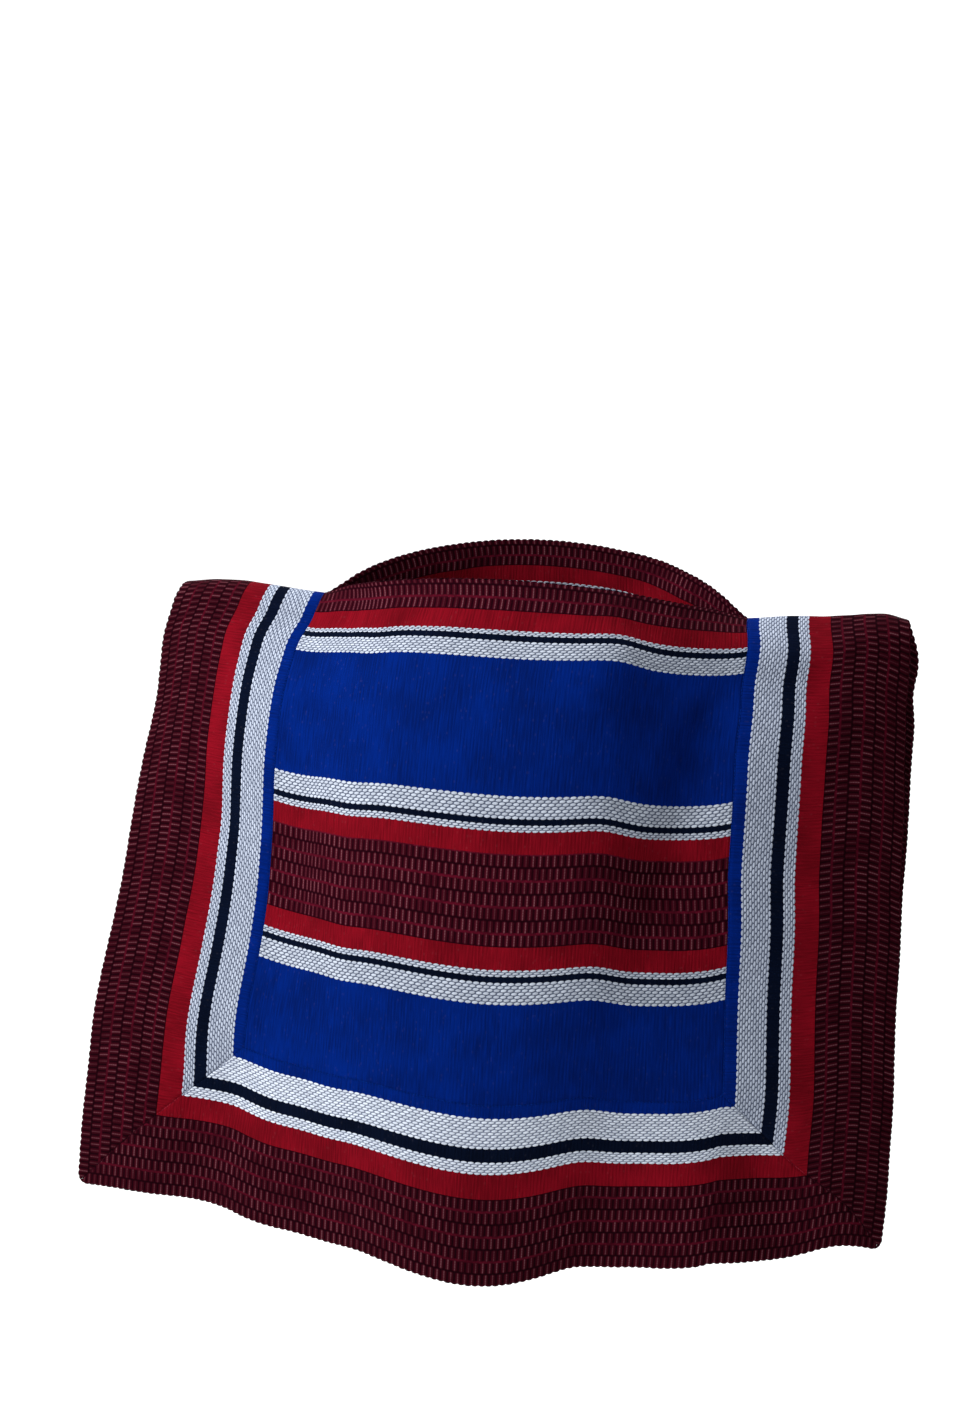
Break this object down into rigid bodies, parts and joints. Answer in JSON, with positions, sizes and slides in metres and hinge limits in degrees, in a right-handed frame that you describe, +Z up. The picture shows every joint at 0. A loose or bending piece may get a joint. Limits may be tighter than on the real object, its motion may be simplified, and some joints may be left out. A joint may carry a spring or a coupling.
{
  "type": "woven poncho in its worn form",
  "caption": "Short square-cut woven poncho with striped borders, in the hollow shape it takes over the shoulders, open at neck, sides and hem.",
  "frame": {"origin": "midway between the shoulders at the height of the shoulder fold, where the wearer holds the poncho up", "axes": "+Z up, the front faces -Y, +X towards the wearer's left"},
  "size_m": [0.4663, 0.1978, 0.4004],
  "materials": {
    "panel_cloth": "matt woven wool, dark blue with white, navy, red and maroon stripes",
    "band_cloth": "matt woven wool, maroon figured rows edged with red, white, navy and blue stripes"
  },
  "bodies": {
    "root": {"front_panel": "panel_cloth", "back_panel": "panel_cloth", "left_side_band": "band_cloth", "right_side_band": "band_cloth", "front_hem_band": "band_cloth", "back_hem_band": "band_cloth"}
  },
  "joints": []
}
